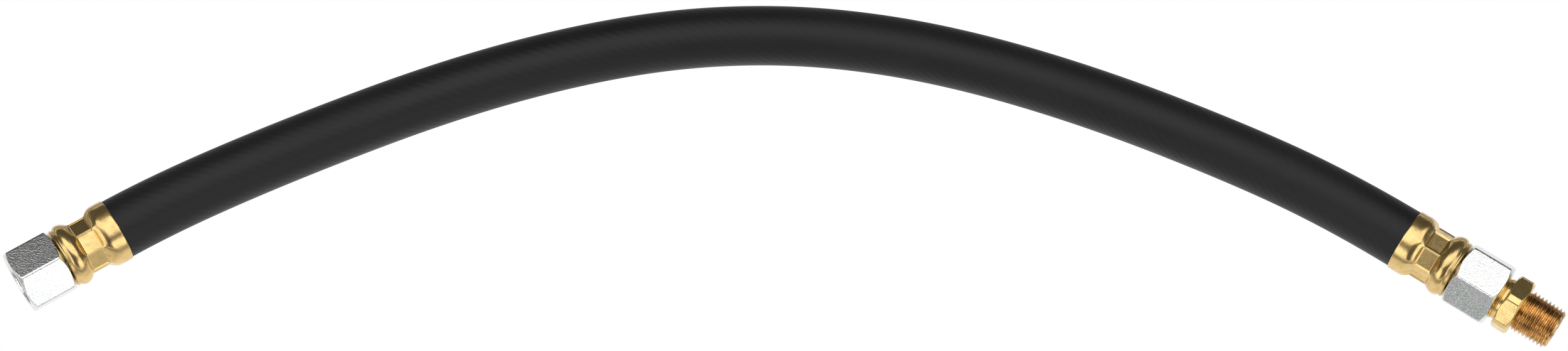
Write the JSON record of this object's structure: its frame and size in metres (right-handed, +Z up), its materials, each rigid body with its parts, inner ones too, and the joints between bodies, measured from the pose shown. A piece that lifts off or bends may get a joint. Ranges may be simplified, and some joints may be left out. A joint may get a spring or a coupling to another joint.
{
  "type": "hydraulic hose assembly",
  "caption": "Curved rubber hydraulic hose with crimped swivel-nut fittings and a brass tapered pipe thread adapter.",
  "frame": {"origin": "on the surface the assembly lies on, under the middle of its bounding box", "axes": "+Z up; the hose's arch bulges towards +Y; end A (open swivel nut) is towards -X and end B (adapter) towards +X"},
  "size_m": [0.3544, 0.0899, 0.0152],
  "materials": {
    "inner_rubber": "satin nitrile rubber",
    "braid": "braided polyester yarn bonded in rubber",
    "cover_rubber": "satin black wrapped rubber cover",
    "ferrule_brass": "drawn brass, lightly polished and crimped",
    "stem_brass": "turned brass",
    "plated_steel": "zinc plated steel with a fine orange-peel grain",
    "adapter_brass": "machined brass, slightly tarnished"
  },
  "bodies": {
    "root": {"hose_inner_tube": "inner_rubber", "hose_braid_inner": "braid", "hose_friction_layer": "inner_rubber", "hose_braid_outer": "braid", "hose_cover": "cover_rubber", "ferrule_a": "ferrule_brass", "ferrule_b": "ferrule_brass", "stem_a": "stem_brass", "stem_b": "stem_brass"},
    "nut_a": {"swivel_nut_a": "plated_steel"},
    "nut_b": {"swivel_nut_b": "plated_steel"},
    "adapter": {"adapter": "adapter_brass"}
  },
  "joints": [
    {"name": "nut_a_swivel", "type": "hinge", "parent": "root", "child": "nut_a", "pos_m": [-0.16916, -0.03619, 0.0075], "axis": [-0.7929, -0.6093, 0], "continuous": true},
    {"name": "nut_b_unscrew", "type": "hinge", "parent": "root", "child": "nut_b", "pos_m": [0.15893, -0.02246, 0.0076], "axis": [-0.8265, 0.5629, 0], "range_deg": [0, 1440]},
    {"name": "adapter_draw", "type": "slide", "parent": "root", "child": "adapter", "axis": [0.8265, -0.5629, 0], "range_m": [0, 0.00508]}
  ],
  "couplings": [
    {"joint": "adapter_draw", "follows": "nut_b_unscrew", "m_per_rad": 0.00020213}
  ]
}
